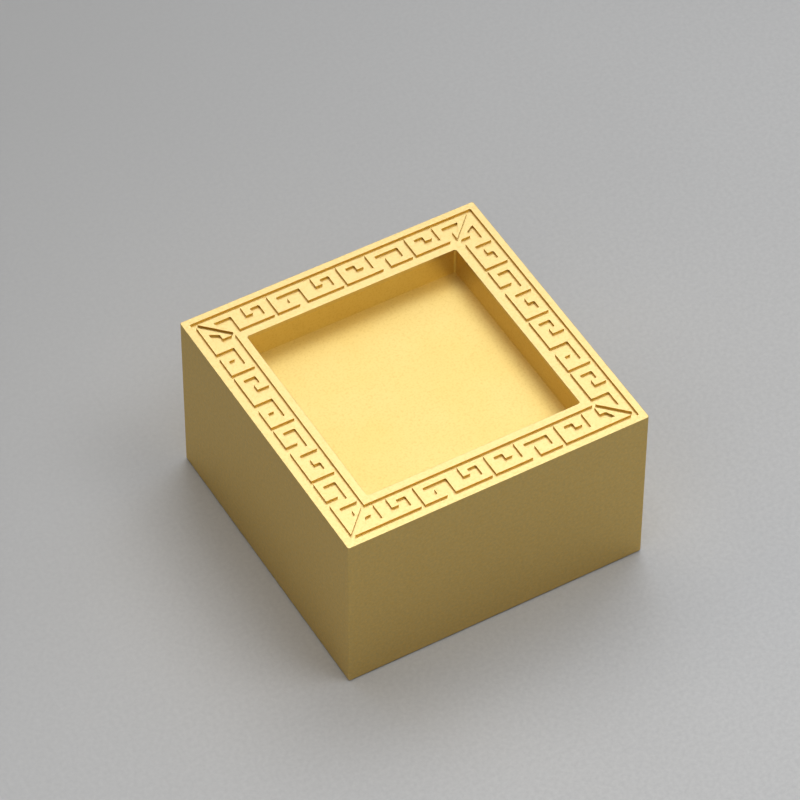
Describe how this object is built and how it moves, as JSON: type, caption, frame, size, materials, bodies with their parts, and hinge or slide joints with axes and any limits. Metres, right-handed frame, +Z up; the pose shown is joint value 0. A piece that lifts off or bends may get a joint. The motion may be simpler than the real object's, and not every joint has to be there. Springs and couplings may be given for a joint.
{
  "type": "desk paperweight",
  "caption": "Square solid brass paperweight with a shallow square well in its top, a raised meander border and a felt base pad.",
  "frame": {"origin": "on the surface that the paperweight stands on, under the middle of the block", "axes": "+Z up out of the well; X and Y across the block's flat sides, with the border's different side facing -Y"},
  "size_m": [0.05, 0.05, 0.03],
  "materials": {
    "satin_brass": "satin, finely blasted and brushed",
    "pressed_felt": "matt pressed wool felt",
    "adhesive": "tacky translucent film"
  },
  "bodies": {
    "root": {"brass_block": "satin_brass", "felt_pad": "pressed_felt", "adhesive_film": "adhesive"}
  },
  "joints": []
}
